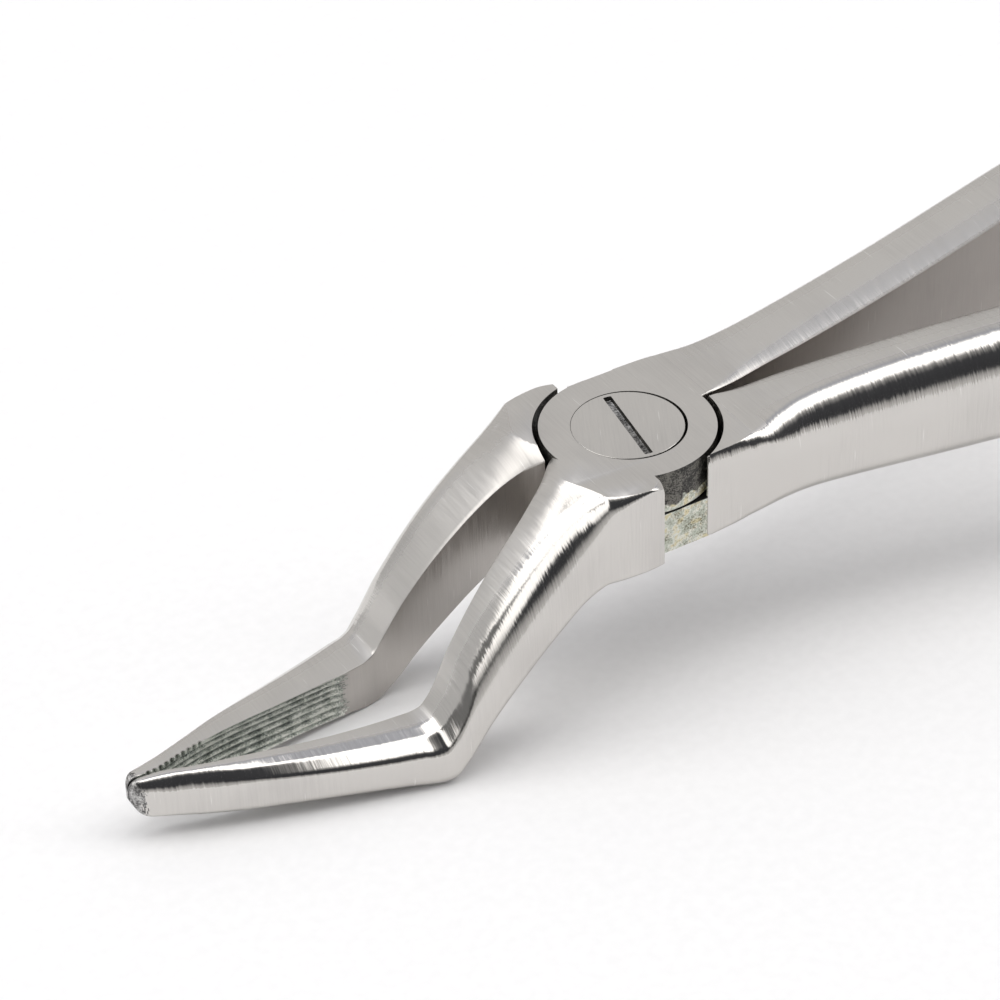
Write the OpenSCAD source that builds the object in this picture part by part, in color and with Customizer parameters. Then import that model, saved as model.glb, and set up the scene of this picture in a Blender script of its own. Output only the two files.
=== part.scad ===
// Bayonet root extraction forceps: two forged halves crossing in a lap joint on one slotted screw.
// Closed, with the joint level. Millimetres.
// Origin: on the pivot axis, at the underside of the joint. +X to the handle ends, +Z to the screw head.

/* [Joint] */
// Thickness of the lap joint, both halves together
joint_t = 8.9; // [7.4:0.1:10.8]
// Radius of the round lap disc on each half
disc_r = 8.15; // [6.8:0.05:9.8]
// Gap between a lap disc and the shoulder that wraps round it
disc_gap = 0.55; // [0.4:0.05:0.8]
// Gap between the two lap faces
lap_gap = 0.1; // [0.05:0.05:0.2]
// How far the joint's straight sides stand outside the lap discs
side_land = 0.25; // [0.1:0.05:0.3]
// How far a beak's shoulder bulges outside the straight sides
shoulder_bulge = 1.3; // [0.6:0.1:1.6]
// Largest opening of the halves, in degrees
open_angle = 25; // [15:1:26]

/* [Pivot screw] */
// Diameter of the flush screw head
head_d = 10.5; // [8:0.1:12.6]
// Thickness of the screw head
head_t = 2.2; // [1.6:0.1:2.8]
// Diameter of the plain shank that the upper half turns on
shank_d = 5.4; // [4.4:0.1:6.8]
// Diameter of the threaded end
thread_d = 5; // [3.6:0.1:6]
// Running clearance all round the head and the shank
screw_clear = 0.06; // [0.03:0.01:0.09]
// Grip of the thread in the lower half, as a radial overlap
thread_grip = 0.02; // [0.01:0.01:0.04]
// Length of the driver slot
slot_len = 9.6; // [6:0.1:9.8]
// Width of the driver slot
slot_w = 0.8; // [0.6:0.05:1.2]
// Depth of the driver slot
slot_depth = 0.9; // [0.5:0.05:1.2]
// Turn of the driver slot from the joint's cross direction, in degrees
slot_turn = -12; // [-90:1:90]

/* [Beaks] */
// Reach of the beak tips ahead of the pivot
tip_reach = 52.4; // [43:0.2:63]
// Reach of the elbows ahead of the pivot
elbow_reach = 25; // [21:0.2:30]
// Drop from the joint's upper face to the beaks' upper edge at the elbow
beak_drop = 18.8; // [15.6:0.2:22.6]
// Rise of the beaks' upper edge from the elbow to the tip
tip_rise = 1.2; // [0:0.1:2]
// Height of a beak just past the elbow
beak_h = 4.9; // [4:0.1:6]
// Height of a beak at its tip
tip_h = 3.8; // [3:0.1:4.6]
// Gap between the beaks at the elbow, where it is widest
elbow_gap = 8.8; // [7.2:0.1:10.6]
// Gap between the closed tips
tip_gap = 0.2; // [0.2:0.05:0.6]
// Width of each beak at the elbow
elbow_w = 5.4; // [4.5:0.1:6.5]
// Width of each beak at its tip
tip_w = 0.9; // [0.7:0.05:1.2]

/* [Handles] */
// Reach of the handle ends behind the pivot
handle_reach = 122; // [100:1:146]
// Distance over the closed handles at their widest
handle_span = 44; // [36:0.5:53]
// Width of a handle just behind the joint
neck_w = 7.3; // [6:0.1:8.6]
// Width of a handle at its grip
grip_w = 7.8; // [6.5:0.1:9.4]
// Height by which the handles' upper side stands above the joint at the grip
handle_rise = 2.4; // [0:0.1:3]
// Depth by which the handles' lower side hangs below the joint at the grip
handle_fall = 0.8; // [0:0.1:1.2]

/* [Hidden] */
$fn = 96;
over = 1;                                   // overshoot of a cut past the surface that it opens
lap_t = (joint_t - lap_gap) / 2;            // thickness of each lap plate
shoulder_r = disc_r + disc_gap;             // inside radius of each shoulder
side_y = disc_r + side_land;                // half width over the straight sides
crotch_y = 0.12;                            // half gap between the halves at the two crotches
swept = acos((side_y + 0.06) / shoulder_r); // angle past the cross line that a beak's shoulder may reach when
                                            // open, still clear of the other half's straight side
beak_end = shoulder_r * sin(open_angle - swept); // where a beak's shoulder stops, ahead of the pivot
side_start = beak_end - 0.35;               // front end of the straight sides, ahead of the pivot
side_end = disc_r - 1.15;                   // back end of the straight sides, behind the pivot
handle_end = shoulder_r * sin(swept) + 1.2; // where a handle's shoulder starts, clear of the open stop
handle_x = disc_r + 0.95;                   // where the handle leaves the joint
root_x = disc_r - 0.55;                     // where the beak leaves the joint's full thickness
bulge_r = 2.3;                              // radius of the bulge on a beak's shoulder
bulge_x = 4.4;                              // centre of that bulge, ahead of the pivot
shank_start = disc_r - 0.65;                // where the upper edge of a beak starts to fall
elbow_z = joint_t - beak_drop;              // height of the beaks' upper edge at the elbow
elbow_half = elbow_gap / 2;
jaw = tip_reach - elbow_reach;              // length of a beak past its elbow
shank = elbow_reach - disc_r;               // length of a beak's shank, joint to elbow
shank_rings = 10;
jaw_rings = 9;
grip_rings = 18;
end_rings = 5;
end_part = 0.06;                            // share of the handle's curve that its round end takes
corner_steps = 4;                           // facets on each rounded corner of a section
edge = 0.2;                                 // smallest bevel along an inner edge
beak_round = 0.38;                          // outer corner radius of a beak, as a share of its smaller side
handle_round = 0.34;                        // the same for a handle

// A curve from 0 to 1 that steepens as it goes; bend is 0 for a straight line
function steepen(u, bend) = (1 - bend) * u + bend * u * u;

// Point at t on the cubic curve with four control points
function bezier(p, t) = pow(1 - t, 3) * p[0] + 3 * t * pow(1 - t, 2) * p[1]
    + 3 * t * t * (1 - t) * p[2] + pow(t, 3) * p[3];

// Clockwise quarter round of radius r from angle a0, about the point c
function quarter(c, r, a0) =
    [for (i = [0:corner_steps]) let (a = a0 - 90 * i / corner_steps) c + r * [cos(a), sin(a)]];

// Section of a bar at x: a flat inner face at y0, a rounded outer side at y1, between heights z0 and z1;
// bevel is the width and the height of the inner corners' bevels, round the outer corners' share
function section(x, y0, y1, z0, z1, bevel, round) =
    let (r = round * min(y1 - y0, z1 - z0))
    let (low = [[y0 + bevel.x, z0], [y0, z0 + bevel.y]], high = [[y0, z1 - bevel.y], [y0 + bevel.x, z1]])
    let (outer = concat(quarter([y1 - r, z1 - r], r, 90), quarter([y1 - r, z0 + r], r, 0)))
    [for (p = concat(low, high, outer)) [x, p.x, p.y]];

// Closed skin over a row of sections, in order of rising x
module bar(rings) {
    n = len(rings[0]);
    last = len(rings) - 1;
    sides = [for (i = [0:last - 1], j = [0:n - 1])
        let (a = i * n + j, b = i * n + (j + 1) % n)
        each [[a, b, b + n], [a, b + n, a + n]]];
    caps = [[for (j = [n - 1:-1:0]) j], [for (j = [0:n - 1]) last * n + j]];
    polyhedron([for (ring = rings) each ring], concat(sides, caps));
}

// Height of a beak's upper edge at distance d ahead of the pivot
function beak_top(d) =
    d < shank_start ? joint_t
    : d < elbow_reach ? joint_t - beak_drop * steepen((d - shank_start) / (elbow_reach - shank_start), 0.5)
    : elbow_z - 0.3 * sin(180 * min(1, (d - elbow_reach) / 6)) + tip_rise * (d - elbow_reach) / jaw;

// Height of a beak's side, thinning down the shank and again to the tip
function beak_side(d) = lookup(d, [
    [shank_start, joint_t],
    [disc_r + 0.32 * shank, joint_t - 0.6],
    [disc_r + 0.76 * shank, joint_t - 1.4],
    [elbow_reach, beak_h + 0.6],
    [elbow_reach + 0.11 * jaw, beak_h],
    [elbow_reach + 0.78 * jaw, beak_h - 0.3],
    [tip_reach, tip_h]]);

// Half gap between the beaks
function beak_inner(d) = lookup(d, [
    [disc_r, crotch_y],
    [disc_r + 0.12 * shank, 0.3 * elbow_half],
    [disc_r + 0.29 * shank, 0.53 * elbow_half],
    [disc_r + 0.6 * shank, 0.76 * elbow_half],
    [disc_r + 0.97 * shank, elbow_half],
    [elbow_reach + 0.06 * jaw, 0.92 * elbow_half],
    [elbow_reach + 0.33 * jaw, 0.72 * elbow_half],
    [elbow_reach + 0.62 * jaw, 0.44 * elbow_half],
    [elbow_reach + 0.91 * jaw, tip_gap / 2],
    [tip_reach, tip_gap / 2]]);

// Width of a beak
function beak_width(d) = lookup(d, [
    [disc_r, side_y],
    [disc_r + 0.12 * shank, elbow_w + 2.6],
    [disc_r + 0.29 * shank, elbow_w + 1.8],
    [disc_r + 0.6 * shank, elbow_w + 1],
    [elbow_reach, elbow_w],
    [elbow_reach + 0.15 * jaw, elbow_w - 0.6],
    [elbow_reach + 0.62 * jaw, elbow_w / 2],
    [elbow_reach + 0.85 * jaw, elbow_w / 4 + tip_w / 2],
    [tip_reach, tip_w]]);

function beak_section(d) =
    let (y0 = beak_inner(d), z1 = beak_top(d))
    section(-d, y0, y0 + beak_width(d), z1 - beak_side(d), z1, [edge, edge], beak_round);

// Beak on the +Y side: a shank down from the joint, the elbow and the jaw out to the tip
module beak() {
    from = root_x - 0.3;
    bar(concat(
        [for (i = [jaw_rings:-1:1]) beak_section(elbow_reach + jaw * i / jaw_rings)],
        [for (i = [shank_rings:-1:0]) beak_section(from + (elbow_reach - from) * i / shank_rings)]));
}

// Middle line of the handle in plan, from the joint to its end
handle_line = [
    [handle_x - 1, crotch_y + neck_w / 2],
    [0.49 * handle_reach, 0.39 * handle_span / 2],
    [0.57 * handle_reach, 1.03 * handle_span / 2],
    [handle_reach, 0.77 * handle_span / 2]];

// Section of the handle at t along its middle line, shrinking where the end is rounded
function handle_section(t) =
    let (c = bezier(handle_line, t), end = max(0, t - 1 + end_part) / end_part)
    let (shrink = sqrt(1 - 0.94 * end * end))
    let (half_w = shrink * (neck_w + (grip_w - neck_w) * t) / 2)
    let (z0 = -handle_fall * min(1, 6 * t), z1 = joint_t + handle_rise * min(1, 4.5 * t))
    let (bevel = [edge, edge] + shrink * min(1, 6 * t) * [2.2, 0.4])
    let (mid = (z0 + z1) / 2, half_h = (0.4 + 0.6 * shrink) * (z1 - z0) / 2)
    section(c.x, c.y - half_w, c.y + half_w, mid - half_h, mid + half_h, bevel, handle_round);

// Handle on the +Y side
module handle() {
    bar(concat(
        [for (i = [0:grip_rings]) handle_section((1 - end_part) * i / grip_rings)],
        [for (i = [1:end_rings]) handle_section(1 - end_part + end_part * sin(90 * i / end_rings))]));
}

// Plan of the joint with its beak towards +Y and its handle towards -Y
module joint_plan() {
    neck_y = crotch_y + neck_w;
    circle(disc_r);
    translate([-bulge_x, side_y + shoulder_bulge - bulge_r]) circle(bulge_r);
    polygon([[-root_x, crotch_y], [-beak_end, crotch_y], [-beak_end, side_y + 0.3], [-root_x, side_y]]);
    polygon([[-side_start, -crotch_y], [-side_start, -side_y], [side_end, -side_y],
        [handle_x, -neck_y], [handle_x, -crotch_y]]);
}

// Clearance for the other half: its disc's space, and the run of its shoulder as the joint opens
module lap_cut() {
    cylinder(h = lap_t + lap_gap + over, r = shoulder_r);
    translate([-side_start, -side_y - over, 0])
        cube([side_start + handle_end, side_y + over, lap_t + lap_gap + over]);
}

// One whole half, its lap still uncut: beak towards +Y, handle towards -Y
module blank() {
    linear_extrude(joint_t) joint_plan();
    beak();
    mirror([0, 1, 0]) handle();
}

module lower_half() {
    color("silver")
        difference() {
            blank();
            translate([0, 0, lap_t]) lap_cut();
            translate([0, 0, -over]) cylinder(h = joint_t + 2 * over, d = thread_d - 2 * thread_grip);
        }
}

module upper_half() {
    color("lightgray")
        difference() {
            mirror([0, 1, 0]) blank();
            mirror([0, 1, 0]) translate([0, 0, -over]) lap_cut();
            cylinder(h = joint_t + over, d = shank_d + 2 * screw_clear);
            translate([0, 0, joint_t - head_t - screw_clear])
                cylinder(h = head_t + over, d = head_d + 2 * screw_clear);
        }
}

module pivot_screw() {
    color("gray")
        difference() {
            union() {
                cylinder(h = lap_t, d = thread_d);
                translate([0, 0, lap_t]) cylinder(h = joint_t - lap_t - head_t, d = shank_d);
                translate([0, 0, joint_t - head_t]) cylinder(h = head_t, d = head_d);
            }
            translate([0, 0, joint_t]) rotate(slot_turn) cube([slot_w, slot_len, 2 * slot_depth], center = true);
        }
}

lower_half();
upper_half();
pivot_screw();
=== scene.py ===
"""Looks of a bayonet root extraction forceps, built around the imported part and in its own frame.

Sizes are in millimetres until a mesh is made, which is in metres. The origin is on the pivot axis at
the underside of the joint, +X runs to the handle ends and +Z to the head of the pivot screw.
"""

import logging
import math
from dataclasses import dataclass, field
from enum import Enum

import bpy
import numpy as np
from mathutils import Matrix, Vector


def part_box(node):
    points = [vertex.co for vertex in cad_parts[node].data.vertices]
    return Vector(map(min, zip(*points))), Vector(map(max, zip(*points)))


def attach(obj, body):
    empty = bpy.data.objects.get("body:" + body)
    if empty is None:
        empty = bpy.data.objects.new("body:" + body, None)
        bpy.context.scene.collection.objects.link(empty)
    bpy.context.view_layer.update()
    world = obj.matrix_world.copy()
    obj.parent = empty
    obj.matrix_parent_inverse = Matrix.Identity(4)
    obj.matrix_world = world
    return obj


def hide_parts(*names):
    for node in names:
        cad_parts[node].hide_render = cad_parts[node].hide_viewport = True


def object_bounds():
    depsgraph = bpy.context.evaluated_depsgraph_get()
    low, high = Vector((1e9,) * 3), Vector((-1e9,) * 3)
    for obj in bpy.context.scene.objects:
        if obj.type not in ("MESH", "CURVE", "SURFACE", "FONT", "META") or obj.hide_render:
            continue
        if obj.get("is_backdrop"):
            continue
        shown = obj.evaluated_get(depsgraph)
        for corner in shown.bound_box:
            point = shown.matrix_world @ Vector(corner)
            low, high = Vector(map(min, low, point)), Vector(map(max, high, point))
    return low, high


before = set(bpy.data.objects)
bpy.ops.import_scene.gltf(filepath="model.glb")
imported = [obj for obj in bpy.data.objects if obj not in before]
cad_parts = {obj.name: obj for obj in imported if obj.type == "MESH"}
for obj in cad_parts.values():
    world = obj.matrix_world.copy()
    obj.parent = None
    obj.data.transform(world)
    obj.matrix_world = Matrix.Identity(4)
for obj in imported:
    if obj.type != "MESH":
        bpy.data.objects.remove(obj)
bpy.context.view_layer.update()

MM = 0.001
SMOOTH = math.radians(32)
MERGE = 4e-7
GRAIN = "grain"
FINISH = "finish"
log = logging.getLogger("forceps")

Thing = bpy.types.Object
Tree = bpy.types.NodeTree
Socket = bpy.types.NodeSocket
Sockets = bpy.types.bpy_prop_collection
Slots = list[bpy.types.Material]
Pair = tuple[float, float]
Point = tuple[float, float, float]


class Side(Enum):
    """Which way a half's beak points across the instrument."""

    REAR = 1
    FRONT = -1


class Skin(Enum):
    """The finishes on one half, in the order of its material slots."""

    STEEL = 0
    JAW = 1
    WALL = 2
    TIP = 3


class Carve(Enum):
    """How one solid is joined to another or cut by it."""

    ADD = "UNION"
    CUT = "DIFFERENCE"


# ---------------------------------------------------------------- workshop helpers


def linear(code: str) -> tuple[float, ...]:
    """Turn an sRGB hex colour into the linear one that the shaders take.

    Args:
        code: six hex digits, such as "CCC9C4".

    Returns:
        Red, green, blue and a full alpha, all linear.
    """
    parts = []
    for i in (0, 2, 4):
        c = int(code[i : i + 2], 16) / 255
        parts.append(c / 12.92 if c <= 0.04045 else ((c + 0.055) / 1.055) ** 2.4)
    return (parts[0], parts[1], parts[2], 1.0)


def bend(*points: Pair) -> "Curve":
    """A dataclass field that holds a smooth curve through (place, value) points."""
    return field(default_factory=lambda: Curve([p[0] for p in points], [p[1] for p in points]))


@dataclass
class Curve:
    """A smooth curve through given points that never swings past them."""

    places: list[float]
    values: list[float]
    slopes: list[float] = field(default_factory=list)

    def __post_init__(self) -> None:
        """Work out the slope at each point, flat where the curve turns back."""
        x = self.places
        y = self.values
        steps = [(y[i + 1] - y[i]) / (x[i + 1] - x[i]) for i in range(len(x) - 1)]
        self.slopes = [steps[0]]
        for i in range(1, len(steps)):
            a = steps[i - 1]
            b = steps[i]
            if a * b <= 0:
                self.slopes.append(0.0)
                continue
            h0 = x[i] - x[i - 1]
            h1 = x[i + 1] - x[i]
            w0 = 2 * h1 + h0
            w1 = h1 + 2 * h0
            self.slopes.append((w0 + w1) / (w0 / a + w1 / b))
        self.slopes.append(steps[-1])

    def at(self, place: float) -> float:
        """Read the curve.

        Args:
            place: where along the curve; outside its points the end value holds.

        Returns:
            The curve's value there.
        """
        x = self.places
        if place <= x[0]:
            return self.values[0]
        if place >= x[-1]:
            return self.values[-1]
        i = max(k for k in range(len(x)) if x[k] <= place)
        h = x[i + 1] - x[i]
        t = (place - x[i]) / h
        a = (1 + 2 * t) * (1 - t) ** 2 * self.values[i]
        b = t * (1 - t) ** 2 * h * self.slopes[i]
        c = t * t * (3 - 2 * t) * self.values[i + 1]
        d = t * t * (t - 1) * h * self.slopes[i + 1]
        return a + b + c + d


def ease(t: float) -> float:
    """Smooth step from 0 to 1, held at both ends."""
    t = min(1.0, max(0.0, t))
    return t * t * (3 - 2 * t)


def pick(thing: Thing) -> None:
    """Make one object the only selected one, and the active one."""
    bpy.ops.object.select_all(action="DESELECT")
    thing.select_set(True)
    bpy.context.view_layer.objects.active = thing


def clear_pick() -> None:
    """Deselect everything, before a new primitive is added."""
    bpy.ops.object.select_all(action="DESELECT")


def apply_place(thing: Thing) -> None:
    """Put an object's place into its mesh, so that the object stands at the origin."""
    pick(thing)
    bpy.ops.object.transform_apply(location=True, rotation=True, scale=True)


def dress_tool(tool: Thing, slots: Sockets, skin: Skin) -> None:
    """Give a joining or cutting solid the half's slots, one finish and the same map names.

    Args:
        tool: the solid.
        slots: the half's materials, in slot order.
        skin: the finish that its faces leave behind.
    """
    mesh = tool.data
    for material in slots:
        mesh.materials.append(material)
    for face in mesh.polygons:
        face.material_index = skin.value
    while mesh.uv_layers:
        mesh.uv_layers.remove(mesh.uv_layers[0])
    mesh.uv_layers.new(name=GRAIN)
    mesh.uv_layers.new(name=FINISH)


def carve(body: Thing, tool: Thing, how: Carve, skin: Skin | None = None) -> None:
    """Join a tool solid to a body or cut the body with it, and take the tool away.

    Args:
        body: the solid that stays.
        tool: the solid that is used up.
        how: whether it adds or cuts.
        skin: the finish that the tool's faces leave behind, for a tool that has none of its own.
    """
    if skin is not None:
        dress_tool(tool, body.data.materials, skin)
    pick(body)
    step = body.modifiers.new("carve", "BOOLEAN")
    step.operation = how.value
    step.solver = "EXACT"
    step.object = tool
    bpy.ops.object.modifier_apply(modifier=step.name)
    mesh = tool.data
    bpy.data.objects.remove(tool, do_unlink=True)
    bpy.data.meshes.remove(mesh)


def tidy_mesh(thing: Thing, gap: float) -> None:
    """Merge doubled points and turn all faces outwards.

    Args:
        thing: the mesh object.
        gap: the widest gap that is merged, in metres.
    """
    pick(thing)
    bpy.ops.object.mode_set(mode="EDIT")
    bpy.ops.mesh.select_all(action="SELECT")
    bpy.ops.mesh.remove_doubles(threshold=gap)
    bpy.ops.mesh.normals_make_consistent(inside=False)
    bpy.ops.object.mode_set(mode="OBJECT")


def add_node(tree: Tree, kind: str, settings: dict, links: dict) -> Sockets:
    """Add a node with its settings and the links into it.

    Args:
        tree: the material's or the world's node tree.
        kind: the node's type name, without its "ShaderNode".
        settings: input values by index or name, node properties by name, and a colour ramp's
            (place, colour) pairs from low to high as "stops".
        links: sockets to link from, by input index or name.

    Returns:
        The new node's outputs.
    """
    node = tree.nodes.new("ShaderNode" + kind)
    for key, value in settings.items():
        if key == "stops":
            band = node.color_ramp.elements
            band.remove(band[-1])
            band[0].position, band[0].color = value[0]
            for place, colour in value[1:]:
                band.new(place).color = colour
        elif isinstance(key, int) or key in node.inputs:
            node.inputs[key].default_value = value
        else:
            setattr(node, key, value)
    for key, source in links.items():
        tree.links.new(source, node.inputs[key])
    return node.outputs


def soft_step(shut: float, wide: float) -> dict:
    """Settings of a map that rises smoothly from 0 at one value to 1 at another."""
    return {"interpolation_type": "SMOOTHSTEP", "From Min": shut, "From Max": wide}


def times_plus(by: float, plus: float = 0.0) -> dict:
    """Settings of a sum that multiplies its first input and adds to it."""
    return {"operation": "MULTIPLY_ADD", 1: by, 2: plus}


def stretch(across_mm: float, along_mm: float) -> Point:
    """Scale of a grain pattern whose marks have this width and length."""
    return (1 / (across_mm * MM), 1 / (along_mm * MM), 1.0)


def grey(value: float) -> tuple[float, ...]:
    """A linear grey with full alpha."""
    return (value, value, value, 1.0)


# ---------------------------------------------------------------- finishes


MIX = {"data_type": "RGBA"}
MULTIPLY = {"data_type": "RGBA", "blend_type": "MULTIPLY", 0: 1.0}


@dataclass
class Blank:
    """A new material, with its node tree and its shader's inputs at hand."""

    name: str
    metallic: float
    made: bpy.types.Material = field(init=False)
    tree: Tree = field(init=False)
    shader: Sockets = field(init=False)

    def __post_init__(self) -> None:
        """Start the material."""
        self.made = bpy.data.materials.new(self.name)
        self.made.use_nodes = True
        self.tree = self.made.node_tree
        self.shader = self.tree.nodes["Principled BSDF"].inputs
        self.shader["Metallic"].default_value = self.metallic

    def finish(
        self, colour: Socket, rough: Socket | float, relief: Socket
    ) -> bpy.types.Material:
        """Link colour, roughness and relief to the shader.

        Args:
            colour: the base colour.
            rough: the roughness, from a pattern or as a constant.
            relief: the bumped normal.

        Returns:
            The finished material.
        """
        self.tree.links.new(colour, self.shader["Base Color"])
        self.tree.links.new(relief, self.shader["Normal"])
        if isinstance(rough, float):
            self.shader["Roughness"].default_value = rough
        else:
            self.tree.links.new(rough, self.shader["Roughness"])
        return self.made


@dataclass(frozen=True)
class GroundSteel:
    """Martensitic stainless steel: flats ground across their length, corners buffed bright.

    The flats give a soft grey glow with fine lines across, and the buffed corners a clear bright
    band with a combed edge, because the last polish also ran across. One steel, two polishes.
    """

    name: str = "ground_stainless_steel"
    colour: str = "CFCCC8"
    # Painted shade on the faces that look across the gap.
    colour_dull: str = "BDBAB7"
    colour_painted_shade: str = "CAC6C4"
    rough_flat: float = 0.31
    rough_buffed: float = 0.13
    colour_scratch: str = "E4E2DF"
    line_mm: float = 0.17
    line_run_mm: float = 6.0
    line_depth_mm: float = 0.006
    waver_mm: float = 0.6
    waver_run_mm: float = 3.5
    cloud_per_m: float = 110.0
    scratch_mm: float = 0.10
    scratch_run_mm: float = 2.2
    scratch_turn: Point = (0.0, 0.0, 0.35)
    comb_mm: float = 0.17
    comb_run_mm: float = 4.5
    comb_tilt: float = 0.085

    def make(self) -> bpy.types.Material:
        """Build the material: its tone, its roughness and its relief.

        Returns:
            The finished material.
        """
        base = Blank(self.name, 1.0)
        tree = base.tree
        grain = add_node(tree, "UVMap", {"uv_map": GRAIN}, {})[0]
        finish = add_node(tree, "UVMap", {"uv_map": FINISH}, {})[0]
        buff_and_shade = add_node(tree, "SeparateXYZ", {}, {0: finish})
        # Real grinding lines are near 0.03 mm apart; drawn coarser so that they show.
        fine = add_node(tree, "Mapping", {"Scale": stretch(self.line_mm, self.line_run_mm)}, {0: grain})[0]
        ridges = {"Scale": 1.0, "Detail": 2.0, "Roughness": 0.6}
        lines = add_node(tree, "TexNoise", ridges, {"Vector": fine})[0]
        wide = {"Scale": stretch(self.waver_mm, self.waver_run_mm)}
        broad = add_node(tree, "Mapping", wide, {0: grain})[0]
        waver = add_node(tree, "TexNoise", {"Scale": 1.0, "Detail": 1.0}, {"Vector": broad})[0]
        body = self.tone(tree, grain, lines)
        # Painted shade: faces that look across the gap are drawn darker, standing in for the shade between
        # the halves.
        stops = [(0.0, linear(self.colour_painted_shade)), (1.0, grey(1.0))]
        shade = add_node(tree, "ValToRGB", {"stops": stops}, {0: buff_and_shade[1]})[0]
        body = add_node(tree, "Mix", MULTIPLY, {6: body, 7: shade})[2]
        buffing = times_plus(self.rough_buffed - self.rough_flat, self.rough_flat - 0.05)
        rough = add_node(tree, "Math", buffing, {0: buff_and_shade[0]})[0]
        rough = add_node(tree, "Math", times_plus(0.10), {0: waver, 2: rough})[0]
        height = add_node(tree, "Math", times_plus(1.4), {0: waver, 2: lines})[0]
        depth = {"Strength": 1.0, "Distance": self.line_depth_mm * MM}
        relief = add_node(tree, "Bump", depth, {"Height": height, "Normal": self.lean(tree, grain)})[0]
        return base.finish(body, rough, relief)

    def tone(
        self, tree: Tree, grain: Socket, lines: Socket
    ) -> Socket:
        """Mix the ground steel's tones with the clouds and stray scratches on it.

        Args:
            tree: the material's node tree.
            grain: the grain map.
            lines: the grinding lines, from 0 to 1.

        Returns:
            The colour socket.
        """
        place = add_node(tree, "TexCoord", {}, {})["Object"]
        cloud = add_node(tree, "TexNoise", {"Scale": self.cloud_per_m, "Detail": 2.0}, {"Vector": place})[0]
        tone = add_node(tree, "Math", times_plus(0.45, 0.28), {0: lines})[0]
        tone = add_node(tree, "Math", times_plus(0.6), {0: cloud, 2: tone})[0]
        stops = [(0.45, linear(self.colour_dull)), (0.85, linear(self.colour))]
        body = add_node(tree, "ValToRGB", {"stops": stops}, {0: tone})[0]
        # Stray scratches, one or two millimetres long, from use and from the tray.
        slant = {"Scale": stretch(self.scratch_mm, self.scratch_run_mm), "Rotation": self.scratch_turn}
        skew = add_node(tree, "Mapping", slant, {0: grain})[0]
        nicks = add_node(tree, "TexNoise", {"Scale": 0.6, "Detail": 0.0}, {"Vector": skew})[0]
        stops = [(0.0, grey(0)), (0.80, grey(0)), (0.86, grey(1))]
        scratch = add_node(tree, "ValToRGB", {"stops": stops}, {0: nicks})[0]
        return add_node(tree, "Mix", MIX | {7: linear(self.colour_scratch)}, {0: scratch, 6: body})[2]

    def lean(self, tree: Tree, grain: Socket) -> Socket:
        """Give each pass of the wheel its own lean, which combs the edges of the reflections.

        Args:
            tree: the material's node tree.
            grain: the grain map.

        Returns:
            The leaning normal.
        """
        passes = add_node(tree, "Mapping", {"Scale": stretch(self.comb_mm, self.comb_run_mm)}, {0: grain})[0]
        lean = add_node(tree, "TexNoise", {"Scale": 1.0, "Detail": 1.0}, {"Vector": passes})[0]
        lean = add_node(tree, "Math", times_plus(self.comb_tilt, 0.5 - 0.5 * self.comb_tilt), {0: lean})[0]
        facing = add_node(tree, "CombineXYZ", {0: 0.5, 2: 1.0}, {1: lean})[0]
        return add_node(tree, "NormalMap", {"uv_map": GRAIN}, {"Color": facing})[0]


@dataclass(frozen=True)
class Speckle:
    """A rough or stained steel face, made of two speckle sizes over a pair of tones."""

    name: str
    dark: str
    mid: str
    light: str
    metallic: float
    roughness: float
    grain_mm: float
    patch_mm: float
    depth_mm: float
    grooved: float = 0.0

    def make(self) -> bpy.types.Material:
        """Build the material.

        Returns:
            The finished material.
        """
        base = Blank(self.name, self.metallic)
        tree = base.tree
        place = add_node(tree, "TexCoord", {}, {})["Object"]
        grit = {"Scale": 1 / (self.grain_mm * MM), "Detail": 2.0, "Roughness": 0.65}
        fine = add_node(tree, "TexNoise", grit, {"Vector": place})[0]
        patch = {"Scale": 1 / (self.patch_mm * MM), "Detail": 1.0}
        broad = add_node(tree, "TexNoise", patch, {"Vector": place})[0]
        tone = add_node(tree, "Math", {"operation": "MULTIPLY", 1: 0.45}, {0: broad})[0]
        tone = add_node(tree, "Math", times_plus(0.75), {0: fine, 2: tone})[0]
        if self.grooved:
            finish = add_node(tree, "UVMap", {"uv_map": FINISH}, {})[0]
            crest_and_shade = add_node(tree, "SeparateXYZ", {}, {0: finish})[1]
            crest_and_shade = add_node(tree, "Math", times_plus(self.grooved, -0.5 * self.grooved), {0: crest_and_shade})[0]
            tone = add_node(tree, "Math", {"operation": "ADD"}, {0: tone, 1: crest_and_shade})[0]
        stops = [(0.42, linear(self.dark)), (0.60, linear(self.mid)), (0.76, linear(self.light))]
        body = add_node(tree, "ValToRGB", {"stops": stops}, {0: tone})[0]
        rough = add_node(tree, "Math", times_plus(0.2, self.roughness - 0.1), {0: fine})[0]
        relief = {"Strength": 1.0, "Distance": self.depth_mm * MM}
        return base.finish(body, rough, add_node(tree, "Bump", relief, {"Height": fine})[0])


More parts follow.
